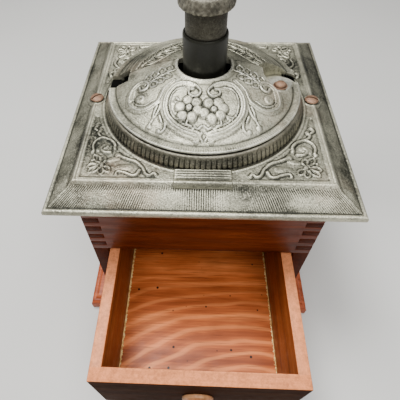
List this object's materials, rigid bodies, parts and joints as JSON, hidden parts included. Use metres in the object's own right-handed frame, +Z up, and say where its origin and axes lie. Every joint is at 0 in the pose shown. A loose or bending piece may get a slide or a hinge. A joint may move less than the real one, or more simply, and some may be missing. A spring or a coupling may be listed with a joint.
{
  "type": "box coffee mill",
  "caption": "Iron-topped wooden box coffee mill with a swinging hopper lid, a crank with a knob, conical burrs and a drawer standing open.",
  "frame": {"origin": "centre of the underside of the base board, on the surface the mill stands on", "axes": "+Z up along the spindle; the drawer comes out towards -Y; +X is to the right as seen from the drawer"},
  "size_m": [0.1894, 0.2585, 0.2491],
  "materials": {
    "case_wood": "dark red-brown varnish, worn",
    "drawer_wood": "orange-brown, thin old varnish",
    "knob_wood": "turned and varnished",
    "top_iron": "worn grey-green, rust tinted",
    "dark_iron": "near black",
    "rusty_iron": "rough, rust brown",
    "steel": "dull, aged"
  },
  "bodies": {
    "mill_case": {"base_board": "case_wood", "box_left_side": "case_wood", "box_right_side": "case_wood", "box_back": "case_wood", "box_front_rail": "case_wood", "base_screw_right_rear": "steel", "base_screw_left_rear": "steel", "base_screw_right_front": "steel", "base_screw_left_front": "steel", "top_plate": "top_iron", "plate_screw_left": "rusty_iron", "plate_screw_right": "rusty_iron", "lid_rivet": "top_iron", "hopper": "dark_iron", "hopper_screw_right_rear": "steel", "hopper_screw_left_rear": "steel", "hopper_screw_right_front": "steel", "hopper_screw_left_front": "steel", "upper_bridge": "dark_iron", "upper_bridge_screw_left": "steel", "upper_bridge_screw_right": "steel", "lower_bridge": "dark_iron", "lower_bridge_screw_left": "steel", "lower_bridge_screw_right": "steel", "outer_burr": "dark_iron", "lock_nut": "steel"},
    "hopper_lid": {"hopper_lid": "top_iron"},
    "thrust_disc": {"thrust_disc": "steel"},
    "adjusting_screw": {"adjusting_screw": "steel"},
    "running_gear": {"spindle": "steel", "inner_burr": "dark_iron", "burr_pin": "steel", "crank_arm": "rusty_iron", "crank_washer": "steel", "crank_nut": "steel", "handle_pin": "steel"},
    "crank_knob": {"crank_knob": "knob_wood"},
    "drawer": {"drawer_front": "drawer_wood", "drawer_left_side": "drawer_wood", "drawer_right_side": "drawer_wood", "drawer_back": "drawer_wood", "drawer_floor": "drawer_wood", "drawer_knob": "knob_wood", "drawer_knob_screw": "steel"}
  },
  "joints": [
    {"name": "lid_swing", "type": "hinge", "parent": "mill_case", "child": "hopper_lid", "pos_m": [0.0455, 0, 0.1464], "axis": [0, 0, 1], "range_deg": [0, 85]},
    {"name": "drawer_slide", "type": "slide", "parent": "mill_case", "child": "drawer", "axis": [0, -1, 0], "range_m": [-0.079, 0.03]},
    {"name": "spindle_lift", "type": "slide", "parent": "mill_case", "child": "thrust_disc", "axis": [0, 0, 1], "range_m": [-0.00127, 0.00127]},
    {"name": "adjuster_turn", "type": "hinge", "parent": "thrust_disc", "child": "adjusting_screw", "pos_m": [0, 0, 0.078], "axis": [0, 0, 1], "range_deg": [-360, 360]},
    {"name": "crank_spin", "type": "hinge", "parent": "thrust_disc", "child": "running_gear", "pos_m": [0, 0, 0.15], "axis": [0, 0, 1], "continuous": true},
    {"name": "knob_spin", "type": "hinge", "parent": "running_gear", "child": "crank_knob", "pos_m": [0.09193, 0.07713, 0.228], "axis": [0, 0, 1], "continuous": true}
  ],
  "couplings": [
    {"joint": "spindle_lift", "follows": "adjuster_turn", "m_per_rad": 0.00020213}
  ]
}
